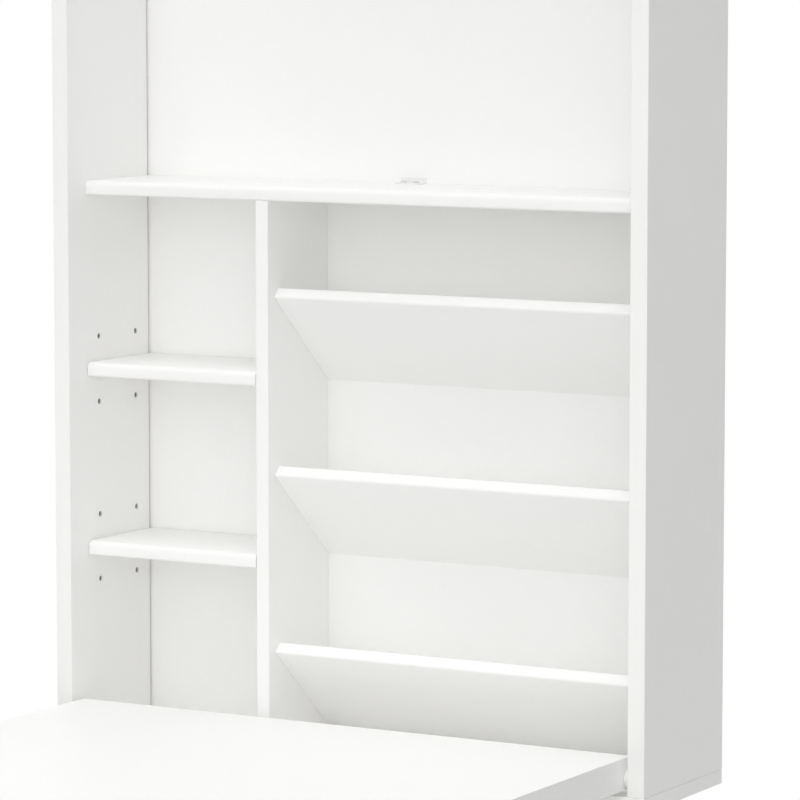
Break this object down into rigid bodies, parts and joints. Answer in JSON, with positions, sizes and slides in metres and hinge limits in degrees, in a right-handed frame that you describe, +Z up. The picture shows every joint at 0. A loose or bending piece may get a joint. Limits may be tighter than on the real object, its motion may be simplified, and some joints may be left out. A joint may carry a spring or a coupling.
{
  "type": "fold down wall desk",
  "caption": "Shallow white wall cabinet with a shelf, cubbies and slanted paper pockets, whose inset front folds down into a desk carried by a folding leg frame.",
  "frame": {"origin": "on the wall, at the middle of the upper hanging rail's two wall screws", "axes": "+X to the right as seen from the room, +Y into the wall, +Z up"},
  "size_m": [0.56, 1.06, 1.662],
  "materials": {
    "white_paint": "satin white lacquer over board",
    "back_board": "satin white lacquered thin board, bare brown at the rear",
    "bare_wood": "planed bare softwood",
    "dowel_wood": "beech",
    "steel": "zinc plated",
    "white_metal": "white powder coat",
    "zinc": "die cast zinc",
    "nickel": "nickel plated",
    "ferrite": "bare magnet",
    "white_plastic": "moulded",
    "nylon": "natural nylon",
    "felt_pad": "grey floor pad"
  },
  "bodies": {
    "cabinet": {"left_side_panel": "white_paint", "right_side_panel": "white_paint", "bottom_panel": "white_paint", "top_panel": "white_paint", "back_panel": "back_board", "divider": "white_paint", "fixed_shelf": "white_paint", "adjustable_shelf_upper": "white_paint", "adjustable_shelf_lower": "white_paint", "pocket_board_lower": "white_paint", "pocket_board_middle": "white_paint", "pocket_board_upper": "white_paint", "upper_hanging_rail": "bare_wood", "lower_hanging_rail": "bare_wood", "shelf_pins": "steel", "carcase_dowels": "dowel_wood", "carcase_screws": "steel", "fixed_shelf_dowels": "dowel_wood", "cam_bolts": "steel", "cam_locks": "zinc", "divider_dowels": "dowel_wood", "pocket_board_dowels": "dowel_wood", "hanging_rail_dowels": "dowel_wood", "back_panel_brads": "steel", "catch_bodies": "white_plastic", "catch_magnets": "ferrite", "catch_poles": "steel", "catch_screws": "steel", "shelf_bracket": "white_metal", "bracket_screws": "steel", "pivot_pin_left": "steel", "pivot_pin_right": "steel", "pivot_spacer_left": "nylon", "pivot_spacer_right": "nylon"},
    "desk": {"desk_top_board": "white_paint", "desk_side_rail_left": "white_paint", "desk_side_rail_right": "white_paint", "desk_rear_rail": "white_paint", "desk_batten": "white_paint", "desk_front_rail": "white_paint", "pivot_bush_left": "nylon", "pivot_bush_right": "nylon", "desk_dowels": "dowel_wood", "strike_plates": "steel", "strike_screws": "steel", "pull_knob": "white_metal", "knob_screw": "steel", "leg_magnets": "nickel", "leg_pivot_pins": "steel"},
    "leg_frame": {"leg_stile_left": "white_paint", "leg_stile_right": "white_paint", "leg_top_rail": "white_paint", "leg_foot_rail": "white_paint", "leg_dowels": "dowel_wood", "leg_pivot_bushes": "nylon", "foot_pads": "felt_pad", "leg_catch_plates": "steel", "leg_catch_screws": "steel"}
  },
  "joints": [
    {"name": "desk_fold", "type": "hinge", "parent": "cabinet", "child": "desk", "pos_m": [0, -0.135, -0.887], "axis": [-1, 0, 0], "range_deg": [0, 90]},
    {"name": "leg_fold", "type": "hinge", "parent": "desk", "child": "leg_frame", "pos_m": [0, -1.0122, -0.888], "axis": [1, 0, 0], "range_deg": [0, 90]}
  ]
}
